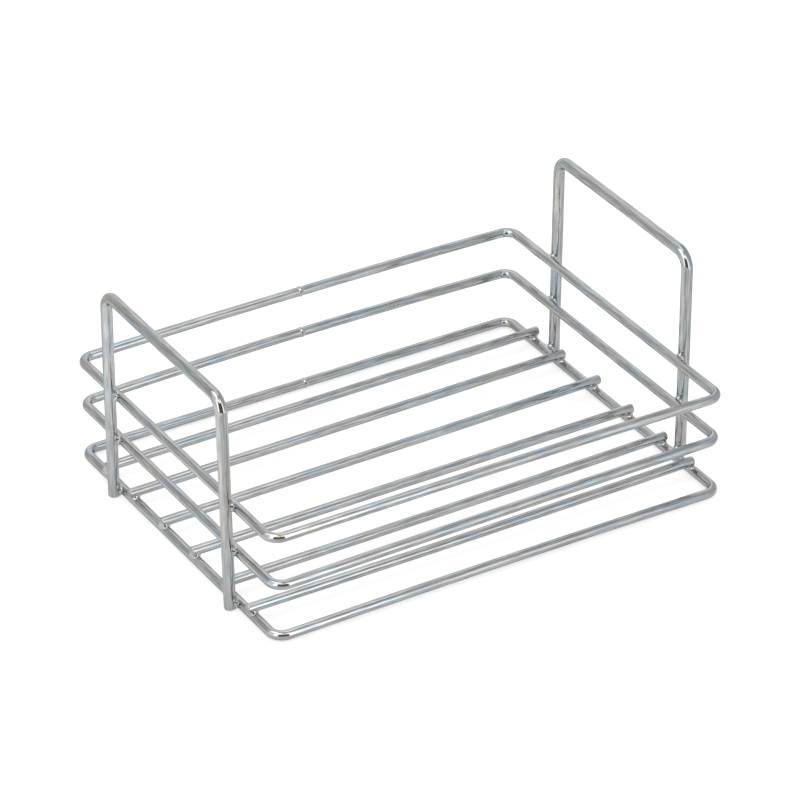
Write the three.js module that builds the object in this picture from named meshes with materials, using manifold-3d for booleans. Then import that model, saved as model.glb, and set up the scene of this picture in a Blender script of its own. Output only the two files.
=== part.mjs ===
// Salt and pepper rack: a chromed carrying rack of welded wire.
// Millimetres, +Z up. The origin is on the table, under the middle of the rack. +X runs along the rack,
// +Y points to its rear long side, where the hoops' butt welds are.
// All lengths of bent wires are taken on the wire's centre line.

import * as THREE from "three";
import { mergeVertices } from "three/addons/utils/BufferGeometryUtils.js";
import Module from "manifold-3d";

// Wire stock
const hoopWire = 4;
const handleWire = 4.8;

// Hoops: one rectangle with round corners, repeated at three heights above the bottom one
const hoopLength = 205;
const hoopWidth = 158;
const hoopBendRadius = 5.5;
const middleHoopRise = 24;
const topHoopRise = 44.5;

// Handles: an upside down U at each end, each set a little off centre by hand
const handleHeight = 97;
const handleSpan = 94.5;
const handleBendRadius = 6.5;
const leftHandleShift = -1;
const rightHandleShift = 0.4;

// Floor rods: spread between the front and the rear rod, from the rear to the front.
// Each one lies as it was set by hand: across is out of an even row, along is endways.
const frontRodInset = 17.2;
const rearRodInset = 20.5;
const rodOverhang = 1.2;
const rodSettings = [
  { across: 0, along: 0.5 },
  { across: 1.5, along: -0.4 },
  { across: 0.6, along: 0.9 },
  { across: -1.2, along: 0.3 },
  { across: -2.9, along: -0.1 },
  { across: 0, along: -1.1 },
];

// Welds: a flat bead squeezed out round each crossing, and a collar where a hoop's ends meet.
// A bead stops a little short of the sides of the hoop's wire, so that one on top of the wire
// and one on its outside never meet.
const beadInset = 0.05;
const beadThickness = 1.6;
const collarLength = 1.4;
const collarBulge = 0.18;

// Clearances
const footClearance = 0.3; // the feet stand this far below the bottom hoop
const seatGap = 0.3; // between two crossing wires
const weldClearance = 0.3; // between a bead and the wires it joins

// Roundness of the solids
const wireSides = 16;
const bendSteps = 7;
const beadSegments = 14;
const beadRings = 6;

// Places that follow from the sizes
const bottomHoopHeight = footClearance + hoopWire / 2;
const hoopHeights = {
  bottom: bottomHoopHeight,
  middle: bottomHoopHeight + middleHoopRise,
  top: bottomHoopHeight + topHoopRise,
};
const handleReach = hoopLength / 2 + hoopWire / 2 + seatGap + handleWire / 2;
const handleBarHeight = handleHeight - handleWire / 2;
const handles = {
  left: { side: -1, shift: leftHandleShift },
  right: { side: 1, shift: rightHandleShift },
};
const beadReach = hoopWire / 2 - beadInset;
const rodHeight = bottomHoopHeight + hoopWire + seatGap;
const rodLength = hoopLength + 2 * rodOverhang;
const rearRodPlace = hoopWidth / 2 - rearRodInset;
const frontRodPlace = frontRodInset - hoopWidth / 2;

const wasm = await Module();
wasm.setup();

// A wire's centre line: straight runs joined by round bends. It has stations only at its ends
// and along its bends, and the sweep puts one section at each station.
class WirePath extends THREE.Curve {
  constructor(corners, bendRadius = 0) {
    super();
    this.stations = [];
    const last = corners.length - 1;
    this.addStation(corners[0], corners[1].clone().sub(corners[0]));
    for (let i = 1; i < last; i += 1) {
      this.addBend(corners[i - 1], corners[i], corners[i + 1], bendRadius);
    }
    this.addStation(corners[last], corners[last].clone().sub(corners[last - 1]));
  }

  addStation(point, direction) {
    this.stations.push({ point: point.clone(), tangent: direction.clone().normalize() });
  }

  addBend(before, corner, after, bendRadius) {
    const incoming = corner.clone().sub(before).normalize();
    const outgoing = after.clone().sub(corner).normalize();
    const turn = incoming.angleTo(outgoing);
    const inward = outgoing.clone().addScaledVector(incoming, -incoming.dot(outgoing)).normalize();
    const centre = corner
      .clone()
      .addScaledVector(incoming, -bendRadius * Math.tan(turn / 2))
      .addScaledVector(inward, bendRadius);
    for (let step = 0; step <= bendSteps; step += 1) {
      const angle = (turn * step) / bendSteps;
      const point = centre
        .clone()
        .addScaledVector(inward, -bendRadius * Math.cos(angle))
        .addScaledVector(incoming, bendRadius * Math.sin(angle));
      const direction = incoming
        .clone()
        .multiplyScalar(Math.cos(angle))
        .addScaledVector(inward, Math.sin(angle));
      this.addStation(point, direction);
    }
  }

  get steps() {
    return this.stations.length - 1;
  }

  getPointAt(u, target = new THREE.Vector3()) {
    return target.copy(this.stations[Math.round(u * this.steps)].point);
  }

  getTangentAt(u, target = new THREE.Vector3()) {
    return target.copy(this.stations[Math.round(u * this.steps)].tangent);
  }
}

// The wire's round section
function wireSection(diameter) {
  const points = [];
  for (let i = 0; i < wireSides; i += 1) {
    const angle = (2 * Math.PI * (i + 0.5)) / wireSides;
    points.push(new THREE.Vector2(Math.cos(angle), Math.sin(angle)).multiplyScalar(diameter / 2));
  }
  return new THREE.Shape(points);
}

// Keeps only the positions, with shared corners merged into one closed skin
function closedSkin(geometry) {
  geometry.deleteAttribute("normal");
  geometry.deleteAttribute("uv");
  return mergeVertices(geometry);
}

function bentWire(path, diameter) {
  const sweep = new THREE.ExtrudeGeometry(wireSection(diameter), { steps: path.steps, extrudePath: path });
  return closedSkin(sweep);
}

function toSolid(geometry) {
  const mesh = new wasm.Mesh({
    numProp: 3,
    vertProperties: new Float32Array(geometry.getAttribute("position").array),
    triVerts: new Uint32Array(geometry.getIndex().array),
  });
  return new wasm.Manifold(mesh);
}

function toGeometry(solid) {
  const mesh = solid.getMesh();
  const geometry = new THREE.BufferGeometry();
  geometry.setAttribute("position", new THREE.BufferAttribute(mesh.vertProperties, mesh.numProp));
  geometry.setIndex(new THREE.BufferAttribute(mesh.triVerts, 1));
  return geometry;
}

// Chromed wire, and the rougher, darker plating on the welds
function chrome() {
  return new THREE.MeshStandardMaterial({ color: 0xc9cdd1, roughness: 0.12, metalness: 1 });
}

function weldChrome() {
  return new THREE.MeshStandardMaterial({ color: 0xa9acae, roughness: 0.3, metalness: 1 });
}

// One hoop, open at the collar in the middle of its rear side
function hoopGeometry() {
  const x = hoopLength / 2;
  const y = hoopWidth / 2;
  const corners = [
    new THREE.Vector3(collarLength / 2, y, 0),
    new THREE.Vector3(x, y, 0),
    new THREE.Vector3(x, -y, 0),
    new THREE.Vector3(-x, -y, 0),
    new THREE.Vector3(-x, y, 0),
    new THREE.Vector3(-collarLength / 2, y, 0),
  ];
  return bentWire(new WirePath(corners, hoopBendRadius), hoopWire);
}

// The butt weld's collar, a short barrel turned about X
function collarGeometry() {
  const radius = hoopWire / 2;
  const half = collarLength / 2;
  const profile = [
    new THREE.Vector2(0, -half),
    new THREE.Vector2(radius, -half),
    new THREE.Vector2(radius + collarBulge, -half / 2),
    new THREE.Vector2(radius + collarBulge, half / 2),
    new THREE.Vector2(radius, half),
    new THREE.Vector2(0, half),
  ];
  const barrel = new THREE.LatheGeometry(profile, wireSides);
  barrel.rotateZ(-Math.PI / 2);
  return closedSkin(barrel);
}

// One handle, from foot to foot in the YZ plane
function handleGeometry() {
  const y = handleSpan / 2;
  const corners = [
    new THREE.Vector3(0, -y, 0),
    new THREE.Vector3(0, -y, handleBarHeight),
    new THREE.Vector3(0, y, handleBarHeight),
    new THREE.Vector3(0, y, 0),
  ];
  return bentWire(new WirePath(corners, handleBendRadius), handleWire);
}

function rodGeometry() {
  const ends = [new THREE.Vector3(-rodLength / 2, 0, 0), new THREE.Vector3(rodLength / 2, 0, 0)];
  return bentWire(new WirePath(ends), hoopWire);
}

// A weld bead round the spot where two wires cross. It lies in the plane square to Z, between a lower
// wire along Y and an upper wire along X, and is cut back from both.
function beadGeometry(lowerWire, upperWire) {
  const bead = new THREE.SphereGeometry(1, beadSegments, beadRings);
  bead.rotateX(Math.PI / 2);
  bead.scale(beadReach, beadReach, beadThickness / 2);
  const cutLength = 4 * beadReach;
  const lower = new THREE.CylinderGeometry(
    lowerWire / 2 + weldClearance,
    lowerWire / 2 + weldClearance,
    cutLength,
    wireSides,
  );
  lower.translate(0, 0, -(lowerWire + seatGap) / 2);
  const upper = new THREE.CylinderGeometry(
    upperWire / 2 + weldClearance,
    upperWire / 2 + weldClearance,
    cutLength,
    wireSides,
  );
  upper.rotateZ(Math.PI / 2);
  upper.translate(0, 0, (upperWire + seatGap) / 2);
  const ring = toSolid(closedSkin(bead))
    .subtract(toSolid(closedSkin(lower)))
    .subtract(toSolid(closedSkin(upper)));
  return toGeometry(ring);
}

const rack = new THREE.Group();

function place(name, geometry, material, x, y, z) {
  const mesh = new THREE.Mesh(geometry, material);
  mesh.name = name;
  mesh.position.set(x, y, z);
  rack.add(mesh);
  return mesh;
}

// Hoops and their butt welds
for (const [level, height] of Object.entries(hoopHeights)) {
  place(`${level}_hoop`, hoopGeometry(), chrome(), 0, 0, height);
  place(`${level}_butt_weld`, collarGeometry(), weldChrome(), 0, hoopWidth / 2, height);
}

// Handles, and the beads where their legs cross the hoops
const handleSeat = handleReach - (handleWire + seatGap) / 2;
for (const [end, { side, shift }] of Object.entries(handles)) {
  place(`${end}_handle`, handleGeometry(), chrome(), side * handleReach, shift, 0);
  for (const [level, height] of Object.entries(hoopHeights)) {
    for (const [leg, legSide] of [["front", -1], ["rear", 1]]) {
      const name = `${end}_${leg}_${level}_weld`;
      const y = shift + (legSide * handleSpan) / 2;
      const bead = place(name, beadGeometry(hoopWire, handleWire), weldChrome(), side * handleSeat, y, height);
      bead.rotation.y = (side * Math.PI) / 2;
    }
  }
}

// Floor rods, numbered from the rear, and the beads where their ends cross the bottom hoop
const rodSeatHeight = rodHeight - (hoopWire + seatGap) / 2;
rodSettings.forEach(({ across, along }, index) => {
  const evenPlace = THREE.MathUtils.lerp(rearRodPlace, frontRodPlace, index / (rodSettings.length - 1));
  const y = evenPlace + across;
  const number = index + 1;
  place(`floor_rod_${number}`, rodGeometry(), chrome(), along, y, rodHeight);
  for (const [end, { side }] of Object.entries(handles)) {
    const name = `rod_${number}_${end}_weld`;
    place(name, beadGeometry(hoopWire, hoopWire), weldChrome(), (side * hoopLength) / 2, y, rodSeatHeight);
  }
});

export default rack;
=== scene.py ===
# Salt and pepper rack: chromed wires, welds, studio and camera.
# Metres, +Z up, in the frame of the solids: +X runs along the rack and +Y points to its rear.
import math

import bmesh
import bpy
import numpy as np
from mathutils import Matrix, Vector, noise


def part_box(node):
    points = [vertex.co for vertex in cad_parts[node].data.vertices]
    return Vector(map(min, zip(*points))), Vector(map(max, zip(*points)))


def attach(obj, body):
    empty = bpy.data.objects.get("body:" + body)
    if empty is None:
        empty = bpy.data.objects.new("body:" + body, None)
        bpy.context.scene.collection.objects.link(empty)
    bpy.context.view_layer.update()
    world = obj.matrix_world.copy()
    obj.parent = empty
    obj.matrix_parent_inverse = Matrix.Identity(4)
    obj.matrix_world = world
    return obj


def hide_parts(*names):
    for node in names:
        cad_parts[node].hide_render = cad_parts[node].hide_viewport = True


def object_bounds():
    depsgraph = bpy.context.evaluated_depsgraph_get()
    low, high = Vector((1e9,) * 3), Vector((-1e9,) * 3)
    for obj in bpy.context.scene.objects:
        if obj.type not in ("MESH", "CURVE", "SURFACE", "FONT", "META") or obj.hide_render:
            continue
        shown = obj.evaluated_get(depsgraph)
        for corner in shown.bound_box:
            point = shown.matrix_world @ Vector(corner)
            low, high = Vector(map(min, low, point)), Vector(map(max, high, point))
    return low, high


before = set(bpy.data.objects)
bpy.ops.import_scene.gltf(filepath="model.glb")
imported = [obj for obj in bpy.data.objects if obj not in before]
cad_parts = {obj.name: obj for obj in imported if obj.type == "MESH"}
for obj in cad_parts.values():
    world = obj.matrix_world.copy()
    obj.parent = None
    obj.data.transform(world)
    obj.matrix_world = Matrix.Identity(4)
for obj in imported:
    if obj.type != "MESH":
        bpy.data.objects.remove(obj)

solid_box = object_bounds()
ground = solid_box[0][2]

MM = 0.001
X_AXIS = Vector((1, 0, 0))
Y_AXIS = Vector((0, 1, 0))
Z_AXIS = Vector((0, 0, 1))
WHITE = (1, 1, 1)
LEVELS = ("bottom", "middle", "top")
SIDES = {"left": -1, "right": 1}
ROD_NUMBERS = range(1, 7)

# Wires
SOLID_SIDES = 16
SECTION_FIT = math.cos(math.pi / SOLID_SIDES)  # the solids' wires lie flat side out in their boxes
HOOP_BEND = 5.5 * MM  # radius of the centre line
HANDLE_BEND = 6.5 * MM
WIRE_SIDES = 48
BEND_STEPS = 20
RUN_STEP = 4 * MM  # between stations on a straight run
CUT_EDGE = 0.55 * MM  # rounding of a cut end
SUNK_EDGE = 0.3 * MM  # rounding of a rod's left end, which sank into the hoop
CUT_SUPPORT = 0.25 * MM  # from a rounding to a ring that keeps the straight wire's shading apart from it
CUT_EDGE_STEPS = 5
CUT_FACE_SHARES = (0.35, 0.7)  # rings inside a cut face
WANDER = 0.07 * MM  # how far a wire strays from its line
WANDER_LENGTH = 45 * MM
WANDER_SLICE = 0.5  # third coordinate of the noise, the same for all wires
WANDER_SEED = 7  # not 0, which Blender takes as the current time
WANDER_FLOOR = 4 * MM  # a centre line nearer the floor than this strays upwards only

# How the wires lie, out of true by hand bending and welding, in millimetres.
# A hoop's corners: along X, along Y. Its long sides: rise of their middle.
HOOP_CORNERS = {
    "bottom": {
        "front left": (0.15, -0.25),
        "front right": (-0.15, -1.6),
        "rear left": (-0.1, 0.3),
        "rear right": (0.4, -0.4),
    },
    "middle": {
        "front left": (-0.15, -1.3),
        "front right": (-0.1, -0.6),
        "rear left": (-0.2, -0.4),
        "rear right": (0.45, -0.4),
    },
    "top": {
        "front left": (-0.4, 0.8),
        "front right": (-0.3, -1.4),
        "rear left": (-0.8, -0.5),
        "rear right": (0.7, -1.1),
    },
}
HOOP_BOWS = {
    "bottom": {"front": 0.6, "rear": 0},
    "middle": {"front": 0.3, "rear": 1.4},
    "top": {"front": 0.5, "rear": 0.9},
}
# A handle's legs: their tops along X, along Y, upwards, and their feet along X, along Y.
LEG_TOPS = {
    "left": {"front": (0, 0.1, 0.3), "rear": (0.6, -0.4, 0.2)},
    "right": {"front": (0, 0, -0.8), "rear": (0, -0.3, -0.2)},
}
LEG_FEET = {
    "left": {"front": (1.2, -0.85), "rear": (0.7, -0.05)},
    "right": {"front": (0, 0.2), "rear": (0, 1.1)},
}
FOOT_CLEARANCE = 0.12 * MM  # keeps a leaning foot's cut face out of the floor
# A rod's ends: along X, along Y. Its left end is also set down into the hoop. Its middle: rise.
ROD_LEFT_ENDS = {
    1: (-0.4, 0),
    2: (-0.8, 0),
    3: (-0.9, 0),
    4: (-0.4, 0.8),
    5: (-0.3, 0.7),
    6: (0, 1.3),
}
ROD_SET_DOWNS = {1: 0.85, 2: 0.85, 3: 1.0, 4: 0.85, 5: 0.85, 6: 0.85}
ROD_RIGHT_ENDS = {
    1: (0.7, -0.2),
    2: (0.85, 0.4),
    3: (0.75, 0.1),
    4: (0.2, -0.6),
    5: (0.4, 0.05),
    6: (0, -0.5),
}
ROD_BOWS = {1: 0, 2: -0.2, 3: -0.2, 4: -0.2, 5: -0.5, 6: -0.5}

# Welds at crossings
FILLET = 2.2 * MM  # blends the surfaces of the two wires
BEAD_REACH = 2.4 * MM
BEAD_SINK = 0.5 * MM  # draws a bead's rim in under the wires' surfaces
BEAD_SINK_FROM = 0.6  # share of the reach where the sinking starts
BEAD_LUMPS = 0.07  # share of the reach and of the fillet
BEAD_LUMP_SIZE = 1.1 * MM
BEAD_SEED_STEP = 7.3  # from bead to bead in the noise
BEAD_SUBDIVISIONS = 5
BEAD_SEARCHES = 24
BEAD_SEARCH_REACH = 1.3  # the surface is searched for within this many reaches
LEAST_FALL = 1e-6  # stands for the fall of a direction that is level or rises
FLOOR_CLEARANCE = 0.05 * MM
CUT_CLEARANCE = 0.3 * MM  # a bead stays this far behind a rod's right end

# Butt welds
COLLAR_HALF = 1.5 * MM
COLLAR_PLACES = {"bottom": 1.4, "middle": 0.1, "top": -0.5}  # along the rear side, in millimetres
COLLAR_BULGE = 0.08 * MM
COLLAR_WIDTH = 0.85 * MM
COLLAR_RIDGE = 0.25 * MM
COLLAR_RIDGE_WIDTH = 0.5 * MM
COLLAR_DIP = 0.02 * MM  # draws a collar's ends in under the wire's surface
COLLAR_RINGS = 36
COLLAR_LUMPS = 0.15  # share of the swelling
COLLAR_LUMP_RATE = 1.7  # radius of the noise round a collar
COLLAR_SEED_STEP = 5.1  # from collar to collar in the noise

# Plating. Noise scales are per metre, a wire's along it and twice across. Stops are (position, colour) pairs.
LINE_SCALE = (110, 1300, 1300)
LINE_DETAIL = 1.0
LINE_RANGE = (0.3, 0.7)
LINE_ROUGHNESS = (0.03, 0.1)  # at either end of the range
LINE_BUMP = 0.5
LINE_DEPTH = 0.05 * MM
STREAK_STOPS = (
    (0.4, (0.75, 0.75, 0.75)),
    (0.6, (1.0, 1.0, 1.0)),
)
CLOUD_SCALE = (60, 220, 220)
CLOUD_DETAIL = 3.0
CLOUD_STOPS = (
    (0.34, (0.60, 0.59, 0.56)),
    (0.5, (0.58, 0.588, 0.588)),
    (0.66, (0.52, 0.588, 0.635)),
)
RIM_TINT = (0.75, 0.75, 0.75)  # dims what the wires mirror at grazing angles
WELD_SCALE = (900, 900, 900)
WELD_DETAIL = 2.0
WELD_ROUGHNESS = 0.05
WELD_BUMP = 0.3
WELD_DEPTH = 0.1 * MM
WELD_STOPS = (
    (0.3, (0.47, 0.47, 0.47)),
    (0.6, (0.61, 0.61, 0.61)),
)

# Studio: a round tent whose panels show in the metal alone. A later panel hangs in front of an earlier one.
# Each panel: azimuth from and to, counted from +X towards +Y, elevation from and to, fade, strength, colour.
# Angles and fades are in degrees. The roof goes on past the zenith, so that it does not fade there.
FULL_TURN = 360
ZENITH = 90
TENT_RADIUS = 0.7
TENT_STEP = 1 * MM  # between a panel and the one behind it
TENT_POINTS = 40  # along each edge of a panel
TENT_PANELS = {
    "roof": (0, 360, 40, 120, 5, 0.59, (1.0, 0.99, 0.97)),
    "rear_left_wall": (86, 164, -14, 60, 6, 0.61, (1.0, 1.0, 0.98)),
    "left_softbox": (192, 232, -14, 80, 8, 2.05, (1.0, 1.0, 1.0)),
    "right_wall": (284, 398, -14, 74, 6, 0.58, (0.95, 1.0, 1.05)),
    "rear_right_wall": (30, 100, -14, 64, 10, 0.97, (0.98, 1.0, 1.01)),
    "right_front_wall": (270, 312, -20, 42, 12, 1.12, (0.97, 1.0, 1.03)),
    "right_softbox": (252, 295, -14, 66, 12, 2.05, (1.0, 1.0, 1.0)),
    "high_softbox": (140, 228, 44, 84, 8, 2.05, (1.0, 1.0, 1.0)),
    "camera_gap": (214, 276, -14, 46, 4, 0.15, (1.0, 0.85, 0.7)),
    "warm_light": (224, 251, 42, 59, 4, 2.4, (1.0, 0.76, 0.48)),
}
# Flat panels: edges along X, along Y, height, fade, strength. The shades are painted shade: dim glowing
# sheets just over the table, seen in the metal alone, that darken its reflection round the rack.
FLAT_PANELS = {
    "ceiling": ((0.0, 0.275), (-0.12, 0.5), 0.62, 0.03, 1.33),
    "front_shade": ((-0.25, 0.125), (-0.6, -0.086), 0.0005, 0.02, 0.72),
    "rear_shade": ((-0.6, 0.6), (0.095, 0.66), 0.0005, 0.03, 0.78),
    "right_painted_shade": ((0.12, 0.6), (-0.3, 0.13), 0.001, 0.03, 0.75),
}
WORLD_LIGHT = 0.6  # what lights the floor
WORLD_WHITE = 1.0  # what the camera and the metal see
KEY_AZIMUTH = math.radians(60)
KEY_ELEVATION = math.radians(75)
KEY_DISTANCE = 0.6
KEY_SIZE = 0.4
KEY_POWER = 0.3
FLOOR_SIZE = 4.0
FLOOR_COLOUR = 0.9
FLOOR_LIFT = 0.58  # glow that the camera and the metal see
# Painted shade: the floor glows less in what metal near it mirrors, standing in for the rack's contact shadow
# in its reflections.
LIFT_NEAR = 0.01  # metal this near the floor sees the least of the lift
LIFT_FAR = 0.15  # from this distance on, all of the lift is seen
LIFT_LEAST = 0.42  # the least share of the lift

# Camera, from the rack's own centre at the height of the bottom hoop
CAMERA_AZIMUTH = math.radians(-31.1003)
CAMERA_ELEVATION = math.radians(31.5202)
CAMERA_ROLL = math.radians(-0.0852)
CAMERA_DISTANCE = 1770.28 * MM
CAMERA_ASIDE = 0.80 * MM
CAMERA_ABOVE = 28.38 * MM
CAMERA_LENS = 195.31  # millimetres, on Blender's 36 mm sensor
CAMERA_FAR = 20.0


def centre_and_half(node):
    """The centre of a node's box, and its half sizes."""
    low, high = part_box(node)
    return (low + high) / 2, (high - low) / 2


def add_object(name, mesh, material):
    mesh.materials.append(material)
    thing = bpy.data.objects.new(name, mesh)
    bpy.context.scene.collection.objects.link(thing)
    return thing


def finished_mesh(name, bm):
    mesh = bpy.data.meshes.new(name)
    bm.to_mesh(mesh)
    bm.free()
    return mesh


def make_piece(name, bm, node, material):
    """Turns a bmesh into a smooth shaded object that stands for a node of the frame."""
    mesh = finished_mesh(name, bm)
    mesh.polygons.foreach_set("use_smooth", [True] * len(mesh.polygons))
    piece = add_object(name, mesh, material)
    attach(piece, "root")
    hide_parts(node)


# Where the wires run


def hoop_corner(level, place):
    """A corner of a hoop's centre line, as it lies. The butt weld gives the long sides' y."""
    centre, half = centre_and_half(f"{level}_hoop")
    long_side, end = place.split()
    x = (half.x - half.z) * SIDES[end]
    y = centre_and_half(f"{level}_butt_weld")[0].y * (1 if long_side == "rear" else -1)
    along, across = HOOP_CORNERS[level][place]
    return Vector((x + along * MM, y + across * MM, centre.z))


def hoop_side(level, end, y):
    """The point of a hoop's short side that has the given y."""
    front = hoop_corner(level, f"front {end}")
    rear = hoop_corner(level, f"rear {end}")
    return front.lerp(rear, (y - front.y) / (rear.y - front.y))


def hoop_seam(level):
    """The point of a hoop's rear side where its ends meet."""
    rear_left = hoop_corner(level, "rear left")
    rear_right = hoop_corner(level, "rear right")
    x = COLLAR_PLACES[level] * MM
    return rear_left.lerp(rear_right, (x - rear_left.x) / (rear_right.x - rear_left.x))


def leg_ends(end, place):
    """The top corner and the foot of a handle's leg, as it leans."""
    centre, half = centre_and_half(f"{end}_handle")
    y = centre.y + (half.y - half.x) * (1 if place == "rear" else -1)
    bar_height = centre.z + half.z - half.x
    foot_height = centre.z - half.z + FOOT_CLEARANCE
    top = Vector((centre.x, y, bar_height)) + Vector(LEG_TOPS[end][place]) * MM
    foot = Vector((centre.x, y, foot_height)) + Vector((*LEG_FEET[end][place], 0)) * MM
    return top, foot


def leg_point(end, place, z):
    top, foot = leg_ends(end, place)
    return foot.lerp(top, (z - foot.z) / (top.z - foot.z))


def rod_ends(number):
    centre, half = centre_and_half(f"floor_rod_{number}")
    left = Vector((*ROD_LEFT_ENDS[number], -ROD_SET_DOWNS[number])) * MM
    right = Vector((*ROD_RIGHT_ENDS[number], 0)) * MM
    return [centre - X_AXIS * half.x + left, centre + X_AXIS * half.x + right]


def wire_radius(node):
    """A wire's radius, from the box of a node whose least size is its wire's."""
    half = centre_and_half(node)[1]
    return min(half) / SECTION_FIT


# Wires


def run_points(start, end):
    """Stations along a straight run, without its end."""
    count = max(1, round((end - start).length / RUN_STEP))
    direction = (end - start).normalized()
    return [(start.lerp(end, i / count), direction) for i in range(count)]


def bend_points(before, corner, after, radius):
    """Stations round a bend."""
    incoming = (corner - before).normalized()
    outgoing = (after - corner).normalized()
    turn = incoming.angle(outgoing)
    inward = (outgoing - incoming * incoming.dot(outgoing)).normalized()
    centre = corner - incoming * radius * math.tan(turn / 2) + inward * radius
    stations = []
    for step in range(BEND_STEPS + 1):
        angle = turn * step / BEND_STEPS
        point = centre - inward * radius * math.cos(angle) + incoming * radius * math.sin(angle)
        direction = incoming * math.cos(angle) + inward * math.sin(angle)
        stations.append((point, direction))
    return stations


def wire_path(corners, bend_radius=0.0):
    """Stations (point, direction) along straight runs that are joined by bends."""
    stations = []
    start = corners[0]
    for before, corner, after in zip(corners, corners[1:], corners[2:]):
        bend = bend_points(before, corner, after, bend_radius)
        stations += run_points(start, bend[0][0])
        stations += bend[:-1]
        start = bend[-1][0]
    stations += run_points(start, corners[-1])
    stations.append((corners[-1], (corners[-1] - start).normalized()))
    return stations


def strayed(stations, seed):
    """The same stations with the slight waviness of drawn wire."""
    result = []
    travelled = 0.0
    previous = stations[0][0]
    for point, direction in stations:
        travelled += (point - previous).length
        previous = point
        stray = noise.noise_vector(Vector((travelled / WANDER_LENGTH, seed, WANDER_SLICE)))
        if point.z - ground < WANDER_FLOOR:
            stray.z = max(stray.z, 0)
        result.append((point + stray * WANDER, direction))
    return result


def bowed(stations, reach, front_rise, rear_rise):
    """The same stations, raised by a bow that is highest at x = 0 and ends at a reach to either side."""
    result = []
    for point, direction in stations:
        share = max(0, 1 - (point.x / reach) ** 2)
        rise = rear_rise if point.y > 0 else front_rise
        result.append((point + Z_AXIS * rise * MM * share, direction))
    return result


def end_rings(radius, edge):
    """A cut end's face and rounded edge: (distance from the end, radius), from the face outwards."""
    rings = [(0.0, (radius - edge) * share) for share in CUT_FACE_SHARES]
    for step in range(CUT_EDGE_STEPS + 1):
        angle = math.pi / 2 * step / CUT_EDGE_STEPS
        rings.append((edge * (1 - math.cos(angle)), radius - edge * (1 - math.sin(angle))))
    rings.append((edge + CUT_SUPPORT, radius))
    return rings


def skin(bm, rings):
    """Joins rings of vertices into a closed skin."""
    for ring, following in zip(rings, rings[1:]):
        for i in range(WIRE_SIDES):
            j = (i + 1) % WIRE_SIDES
            bm.faces.new((ring[i], following[i], following[j], ring[j]))
    bm.faces.new(rings[0])
    bm.faces.new(reversed(rings[-1]))
    bmesh.ops.recalc_face_normals(bm, faces=bm.faces)


def wire_mesh(stations, radius, upright, seed, first_edge=CUT_EDGE):
    """A round wire along stations, with rounded cut ends. Upright is about square to the wire everywhere."""
    bm = bmesh.new()
    grain = bm.verts.layers.float_vector.new("grain")
    rings = []
    travelled = 0.0

    def add_ring(point, direction, ring_radius, along):
        side = direction.cross(upright)
        ring = []
        for i in range(WIRE_SIDES):
            angle = 2 * math.pi * i / WIRE_SIDES
            offset = upright * math.cos(angle) + side * math.sin(angle)
            vertex = bm.verts.new(point + offset * ring_radius)
            vertex[grain] = Vector((along + seed, radius * math.cos(angle), radius * math.sin(angle)))
            ring.append(vertex)
        rings.append(ring)

    first, first_direction = stations[0]
    for distance, ring_radius in end_rings(radius, first_edge):
        add_ring(first + first_direction * distance, first_direction, ring_radius, distance)
    previous = first
    for point, direction in stations[1:-1]:
        travelled += (point - previous).length
        previous = point
        add_ring(point, direction, radius, travelled)
    last, last_direction = stations[-1]
    travelled += (last - previous).length
    for distance, ring_radius in reversed(end_rings(radius, CUT_EDGE)):
        add_ring(last - last_direction * distance, last_direction, ring_radius, travelled - distance)
    skin(bm, rings)
    return bm


def build_hoops(material):
    for number, level in enumerate(LEVELS):
        node = f"{level}_hoop"
        gap = X_AXIS * centre_and_half(f"{level}_butt_weld")[1].x
        rear_right = hoop_corner(level, "rear right")
        corners = [
            hoop_seam(level) + gap,
            rear_right,
            hoop_corner(level, "front right"),
            hoop_corner(level, "front left"),
            hoop_corner(level, "rear left"),
            hoop_seam(level) - gap,
        ]
        bows = HOOP_BOWS[level]
        path = wire_path(corners, HOOP_BEND)
        path = bowed(path, rear_right.x - HOOP_BEND, bows["front"], bows["rear"])
        bm = wire_mesh(strayed(path, number), wire_radius(node), Z_AXIS, number)
        make_piece(f"{node}_wire", bm, node, material)


def build_handles(material):
    for number, end in enumerate(SIDES, start=len(LEVELS)):
        node = f"{end}_handle"
        front_top, front_foot = leg_ends(end, "front")
        rear_top, rear_foot = leg_ends(end, "rear")
        path = wire_path([front_foot, front_top, rear_top, rear_foot], HANDLE_BEND)
        bm = wire_mesh(strayed(path, number), wire_radius(node), X_AXIS, number)
        make_piece(f"{node}_wire", bm, node, material)


def build_rods(material):
    for number in ROD_NUMBERS:
        node = f"floor_rod_{number}"
        seed = number + len(LEVELS) + len(SIDES)
        ends = rod_ends(number)
        rise = ROD_BOWS[number]
        path = bowed(wire_path(ends), ends[1].x, rise, rise)
        bm = wire_mesh(strayed(path, seed), wire_radius(node), Z_AXIS, seed, SUNK_EDGE)
        make_piece(f"{node}_wire", bm, node, material)


# Welds


def distance_to_wire(points, axis, place, radius, reach=math.inf, edge=0.0):
    """Distance to a round wire. It may end at a reach along its axis, with a rounded edge."""
    offset = points - np.array(place)
    along = offset @ np.array(axis)
    around = np.linalg.norm(offset - along[:, None] * np.array(axis), axis=1) - radius + edge
    beyond = along - reach + edge
    outside = np.hypot(np.maximum(around, 0), np.maximum(beyond, 0))
    return np.minimum(np.maximum(around, beyond), 0) + outside - edge


def smooth_union(first, second, blend):
    share = np.clip(0.5 + 0.5 * (second - first) / blend, 0, 1)
    return second + (first - second) * share - blend * share * (1 - share)


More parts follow.
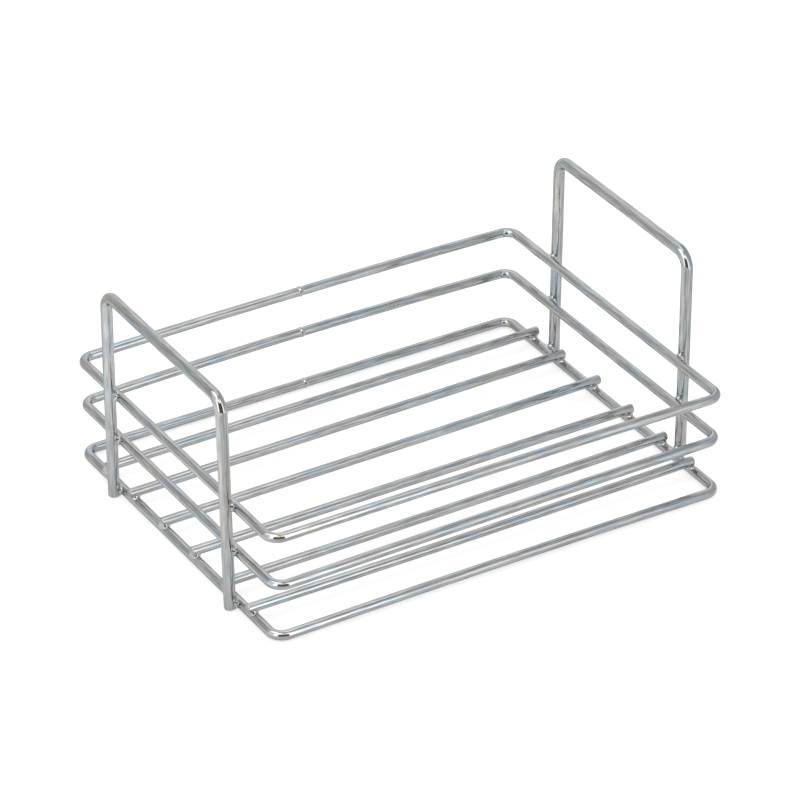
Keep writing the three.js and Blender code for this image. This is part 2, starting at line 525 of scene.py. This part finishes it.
def bead_mesh(lower, upper, seed):
    """A fillet of weld metal where two wires cross. Each wire is as distance_to_wire takes it."""
    bm = bmesh.new()
    grain = bm.verts.layers.float_vector.new("grain")
    bmesh.ops.create_icosphere(bm, subdivisions=BEAD_SUBDIVISIONS, radius=1)
    directions = np.array([vertex.co for vertex in bm.verts])
    normal = (upper[1] - lower[1]).normalized()
    centre = (lower[1] + normal * lower[2] + upper[1] - normal * upper[2]) / 2
    seed_shift = Vector((seed * BEAD_SEED_STEP, 0, 0))
    lumps = np.array([
        noise.noise(Vector(direction) * BEAD_REACH / BEAD_LUMP_SIZE + seed_shift)
        for direction in directions
    ])
    reach = BEAD_REACH * (1 + BEAD_LUMPS * lumps)

    def outside(distance):
        points = np.array(centre) + directions * distance[:, None]
        sink = BEAD_SINK * np.maximum(0, distance / reach - BEAD_SINK_FROM) ** 2
        blend = FILLET * (1 + BEAD_LUMPS * lumps)
        return smooth_union(distance_to_wire(points, *lower), distance_to_wire(points, *upper), blend) + sink

    room = centre.z - ground - FLOOR_CLEARANCE
    near = np.zeros(len(directions))
    far = np.minimum(reach * BEAD_SEARCH_REACH, room / np.maximum(-directions[:, 2], LEAST_FALL))
    for _ in range(BEAD_SEARCHES):
        middle = (near + far) / 2
        inside = outside(middle) < 0
        near = np.where(inside, middle, near)
        far = np.where(inside, far, middle)
    for vertex, direction, distance in zip(bm.verts, directions, near):
        vertex.co = centre + Vector(direction) * distance
        vertex[grain] = vertex.co
    return bm


def build_crossing_welds(material):
    seed = 0
    for end in SIDES:
        leg_radius = wire_radius(f"{end}_handle")
        for level in LEVELS:
            radius = wire_radius(f"{level}_hoop")
            height = centre_and_half(f"{level}_hoop")[0].z
            for place in ("front", "rear"):
                node = f"{end}_{place}_{level}_weld"
                leg = leg_point(end, place, height)
                side = hoop_side(level, end, leg.y)
                seed += 1
                bm = bead_mesh((Y_AXIS, side, radius), (Z_AXIS, leg, leg_radius), seed)
                make_piece(f"{node}_bead", bm, node, material)
    for end, sign in SIDES.items():
        radius = wire_radius("bottom_hoop")
        for number in ROD_NUMBERS:
            node = f"rod_{number}_{end}_weld"
            rod_end = rod_ends(number)[0 if end == "left" else 1]
            side = hoop_side("bottom", end, rod_end.y)
            above = Vector((side.x, side.y, rod_end.z))
            reach = (rod_end.x - side.x) * sign
            cut = (reach, SUNK_EDGE) if end == "left" else (reach - CUT_CLEARANCE, CUT_EDGE)
            seed += 1
            bm = bead_mesh((Y_AXIS, side, radius), (X_AXIS * sign, above, radius, *cut), seed)
            make_piece(f"{node}_bead", bm, node, material)


def collar_mesh(centre, radius, seed):
    """The upset of a butt weld, turned about X, with a narrow ridge round its middle."""
    bm = bmesh.new()
    grain = bm.verts.layers.float_vector.new("grain")
    rings = []
    for step in range(COLLAR_RINGS + 1):
        x = COLLAR_HALF * (2 * step / COLLAR_RINGS - 1)
        swell = COLLAR_BULGE * math.exp(-((x / COLLAR_WIDTH) ** 2))
        swell += COLLAR_RIDGE * math.exp(-((x / COLLAR_RIDGE_WIDTH) ** 2))
        ring = []
        for i in range(WIRE_SIDES):
            angle = 2 * math.pi * i / WIRE_SIDES
            round_about = Vector((0, math.cos(angle), math.sin(angle)))
            shift = Vector((x / COLLAR_WIDTH, seed * COLLAR_SEED_STEP, 0))
            lump = noise.noise(round_about * COLLAR_LUMP_RATE + shift)
            size = radius + swell * (1 + COLLAR_LUMPS * lump) - COLLAR_DIP
            place = Vector((x, 0, 0)) + round_about * size
            vertex = bm.verts.new(centre + place)
            vertex.co.z = max(vertex.co.z, ground + FLOOR_CLEARANCE)
            vertex[grain] = place
            ring.append(vertex)
        rings.append(ring)
    skin(bm, rings)
    return bm


def build_butt_welds(material):
    for seed, level in enumerate(LEVELS):
        node = f"{level}_butt_weld"
        centre = hoop_seam(level)
        centre.z += HOOP_BOWS[level]["rear"] * MM
        bm = collar_mesh(centre, wire_radius(f"{level}_hoop"), seed)
        make_piece(f"{node}_collar", bm, node, material)


# Materials


def new_material(name):
    material = bpy.data.materials.new(name)
    material.use_nodes = True
    material.node_tree.nodes.clear()
    return material, material.node_tree


def add_node(tree, kind, inputs=None, **settings):
    """Adds a node, sets its properties, and sets or links its inputs."""
    node = tree.nodes.new(kind)
    for name, value in settings.items():
        setattr(node, name, value)
    for name, value in (inputs or {}).items():
        if isinstance(value, bpy.types.NodeSocket):
            tree.links.new(value, node.inputs[name])
        else:
            node.inputs[name].default_value = value
    return node


def colour_ramp(tree, factor, stops):
    """A ramp of (position, colour) stops."""
    node = add_node(tree, "ShaderNodeValToRGB", {"Fac": factor})
    elements = node.color_ramp.elements
    while len(elements) < len(stops):
        elements.new(1)
    for element, (position, colour) in zip(elements, stops):
        element.position = position
        element.color = (*colour, 1)
    return node.outputs["Color"]


def stretched_noise(tree, vector, scale, detail):
    mapping = add_node(tree, "ShaderNodeMapping", {"Vector": vector, "Scale": scale})
    texture = add_node(
        tree, "ShaderNodeTexNoise", {"Vector": mapping.outputs["Vector"], "Scale": 1.0, "Detail": detail}
    )
    return texture.outputs["Fac"]


def chrome_material():
    """Bright plating over drawn wire: fine lines along the wire, and cloudy bluish patches."""
    material, tree = new_material("drawn_wire_chrome")
    grain = add_node(tree, "ShaderNodeAttribute", attribute_name="grain").outputs["Vector"]
    lines = stretched_noise(tree, grain, LINE_SCALE, LINE_DETAIL)
    clouds = stretched_noise(tree, grain, CLOUD_SCALE, CLOUD_DETAIL)
    tint = colour_ramp(tree, clouds, CLOUD_STOPS)
    streaks = colour_ramp(tree, lines, STREAK_STOPS)
    base = add_node(tree, "ShaderNodeVectorMath", {0: tint, 1: streaks}, operation="MULTIPLY")
    rough = add_node(
        tree,
        "ShaderNodeMapRange",
        {
            "Value": lines,
            "From Min": LINE_RANGE[0],
            "From Max": LINE_RANGE[1],
            "To Min": LINE_ROUGHNESS[0],
            "To Max": LINE_ROUGHNESS[1],
        },
    )
    bump = add_node(tree, "ShaderNodeBump", {"Height": lines, "Strength": LINE_BUMP, "Distance": LINE_DEPTH})
    shader = add_node(
        tree,
        "ShaderNodeBsdfPrincipled",
        {
            "Base Color": base.outputs["Vector"],
            "Metallic": 1.0,
            "Specular Tint": (*RIM_TINT, 1),
            "Roughness": rough.outputs["Result"],
            "Normal": bump.outputs["Normal"],
        },
    )
    add_node(tree, "ShaderNodeOutputMaterial", {"Surface": shader.outputs["BSDF"]})
    return material


def weld_material():
    """The same plating over weld metal that flowed: smooth lumps."""
    material, tree = new_material("weld_chrome")
    grain = add_node(tree, "ShaderNodeAttribute", attribute_name="grain").outputs["Vector"]
    lumps = stretched_noise(tree, grain, WELD_SCALE, WELD_DETAIL)
    tint = colour_ramp(tree, lumps, WELD_STOPS)
    bump = add_node(tree, "ShaderNodeBump", {"Height": lumps, "Strength": WELD_BUMP, "Distance": WELD_DEPTH})
    shader = add_node(
        tree,
        "ShaderNodeBsdfPrincipled",
        {
            "Base Color": tint,
            "Metallic": 1.0,
            "Roughness": WELD_ROUGHNESS,
            "Normal": bump.outputs["Normal"],
        },
    )
    add_node(tree, "ShaderNodeOutputMaterial", {"Surface": shader.outputs["BSDF"]})
    return material


# Studio


def seen_rays(tree):
    """One for rays from the camera, and for rays that come by way of metal or glass."""
    path = add_node(tree, "ShaderNodeLightPath")
    mirrored = add_node(
        tree,
        "ShaderNodeMath",
        {0: path.outputs["Is Glossy Ray"], 1: path.outputs["Is Transmission Ray"]},
        operation="MAXIMUM",
    )
    seen = add_node(
        tree,
        "ShaderNodeMath",
        {0: path.outputs["Is Camera Ray"], 1: mirrored.outputs["Value"]},
        operation="MAXIMUM",
    )
    return seen.outputs["Value"]


def build_world():
    world = bpy.data.worlds.new("studio")
    bpy.context.scene.world = world
    world.use_nodes = True
    tree = world.node_tree
    tree.nodes.clear()
    light = add_node(tree, "ShaderNodeBackground", {"Color": (*WHITE, 1), "Strength": WORLD_LIGHT})
    white = add_node(tree, "ShaderNodeBackground", {"Color": (*WHITE, 1), "Strength": WORLD_WHITE})
    mix = add_node(
        tree,
        "ShaderNodeMixShader",
        {0: seen_rays(tree), 1: light.outputs["Background"], 2: white.outputs["Background"]},
    )
    add_node(tree, "ShaderNodeOutputWorld", {"Surface": mix.outputs["Shader"]})


def direction_at(azimuth, elevation):
    level = math.cos(elevation)
    return Vector((level * math.cos(azimuth), level * math.sin(azimuth), math.sin(elevation)))


def tent_material(name, strength, colour):
    """Glows evenly, and is clear towards a panel's edges."""
    material, tree = new_material(name)
    cover = add_node(tree, "ShaderNodeAttribute", attribute_name="cover")
    clear = add_node(tree, "ShaderNodeBsdfTransparent")
    glow = add_node(tree, "ShaderNodeEmission", {"Color": (*colour, 1), "Strength": strength})
    mix = add_node(
        tree,
        "ShaderNodeMixShader",
        {0: cover.outputs["Fac"], 1: clear.outputs["BSDF"], 2: glow.outputs["Emission"]},
    )
    add_node(tree, "ShaderNodeOutputMaterial", {"Surface": mix.outputs["Shader"]})
    return material


def hang_panel(name, place_at, cover_at, strength, colour):
    """A glowing panel that only metal sees. Place and cover are functions of shares across and up it."""
    bm = bmesh.new()
    cover = bm.verts.layers.float.new("cover")
    shares = [i / TENT_POINTS for i in range(TENT_POINTS + 1)]
    grid = []
    for up in shares:
        line = []
        for across in shares:
            vertex = bm.verts.new(place_at(across, up))
            vertex[cover] = min(1, max(0, cover_at(across, up)))
            line.append(vertex)
        grid.append(line)
    for line, following in zip(grid, grid[1:]):
        for i in range(TENT_POINTS):
            bm.faces.new((line[i], line[i + 1], following[i + 1], following[i]))
    panel = add_object(name, finished_mesh(name, bm), tent_material(name, strength, colour))
    panel.visible_camera = False
    panel.visible_diffuse = False
    panel.visible_shadow = False
    panel.visible_transmission = False


def to_edge(share, length):
    """How far a share of a length lies from the nearer end."""
    return min(share, 1 - share) * length


def hang_round_panel(name, radius, panel):
    turn_from, turn_to, rise_from, rise_to, fade, strength, colour = panel
    turn = turn_to - turn_from
    rise = rise_to - rise_from

    def place_at(across, up):
        azimuth = turn_from + turn * across
        elevation = min(rise_from + rise * up, ZENITH)
        return direction_at(math.radians(azimuth), math.radians(elevation)) * radius

    def cover_at(across, up):
        sideways = fade if turn == FULL_TURN else to_edge(across, turn)
        return min(sideways, to_edge(up, rise)) / fade

    hang_panel(f"tent_{name}", place_at, cover_at, strength, colour)


def hang_flat_panel(name, panel):
    (left, right), (front, rear), height, fade, strength = panel
    length = right - left
    width = rear - front

    def place_at(across, up):
        return Vector((left + length * across, front + width * up, ground + height))

    def cover_at(across, up):
        return min(to_edge(across, length), to_edge(up, width)) / fade

    hang_panel(f"tent_{name}", place_at, cover_at, strength, WHITE)


def build_tent():
    for order, (name, panel) in enumerate(TENT_PANELS.items()):
        hang_round_panel(name, TENT_RADIUS - order * TENT_STEP, panel)
    for name, panel in FLAT_PANELS.items():
        hang_flat_panel(name, panel)


def build_key():
    """A soft lamp over the rack, for the floor."""
    data = bpy.data.lights.new("key", "AREA")
    data.size = KEY_SIZE
    data.energy = KEY_POWER
    key = bpy.data.objects.new("key", data)
    towards = direction_at(KEY_AZIMUTH, KEY_ELEVATION)
    key.location = towards * KEY_DISTANCE
    key.rotation_euler = towards.to_track_quat("Z", "Y").to_euler()
    key.visible_glossy = False
    bpy.context.scene.collection.objects.link(key)


def build_floor():
    material, tree = new_material("pale_floor")
    matt = add_node(tree, "ShaderNodeBsdfDiffuse", {"Color": (FLOOR_COLOUR, FLOOR_COLOUR, FLOOR_COLOUR, 1)})
    path = add_node(tree, "ShaderNodeLightPath")
    # Painted contact shade: the lift fades for short rays, which come from metal near the floor.
    nearness = add_node(
        tree,
        "ShaderNodeMapRange",
        {
            "Value": path.outputs["Ray Length"],
            "From Min": LIFT_NEAR,
            "From Max": LIFT_FAR,
            "To Min": FLOOR_LIFT * LIFT_LEAST,
            "To Max": FLOOR_LIFT,
        },
    )
    share = add_node(
        tree, "ShaderNodeMath", {0: seen_rays(tree), 1: nearness.outputs["Result"]}, operation="MULTIPLY"
    )
    lift = add_node(tree, "ShaderNodeEmission", {"Color": (*WHITE, 1), "Strength": share.outputs["Value"]})
    both = add_node(tree, "ShaderNodeAddShader", {0: matt.outputs["BSDF"], 1: lift.outputs["Emission"]})
    add_node(tree, "ShaderNodeOutputMaterial", {"Surface": both.outputs["Shader"]})
    bm = bmesh.new()
    bmesh.ops.create_grid(bm, x_segments=1, y_segments=1, size=FLOOR_SIZE)
    floor = add_object("floor", finished_mesh("floor", bm), material)
    floor.location.z = ground


def build_camera():
    back = direction_at(CAMERA_AZIMUTH - math.pi / 2, CAMERA_ELEVATION)
    level_right = direction_at(CAMERA_AZIMUTH, 0)
    level_up = back.cross(level_right)
    right = level_right * math.cos(CAMERA_ROLL) + level_up * math.sin(CAMERA_ROLL)
    up = level_up * math.cos(CAMERA_ROLL) - level_right * math.sin(CAMERA_ROLL)
    target = Z_AXIS * centre_and_half("bottom_hoop")[0].z
    eye = target + back * CAMERA_DISTANCE + right * CAMERA_ASIDE + up * CAMERA_ABOVE
    data = bpy.data.cameras.new("camera")
    data.lens = CAMERA_LENS
    data.clip_end = CAMERA_FAR
    camera = bpy.data.objects.new("camera", data)
    camera.matrix_world = Matrix.Translation(eye) @ Matrix((right, up, back)).transposed().to_4x4()
    bpy.context.scene.collection.objects.link(camera)
    bpy.context.scene.camera = camera


noise.seed_set(WANDER_SEED)
chrome = chrome_material()
weld = weld_material()
build_camera()
build_hoops(chrome)
build_handles(chrome)
build_rods(chrome)
build_crossing_welds(weld)
build_butt_welds(weld)
build_world()
build_tent()
build_key()
build_floor()
bpy.context.scene.view_settings.view_transform = "Standard"
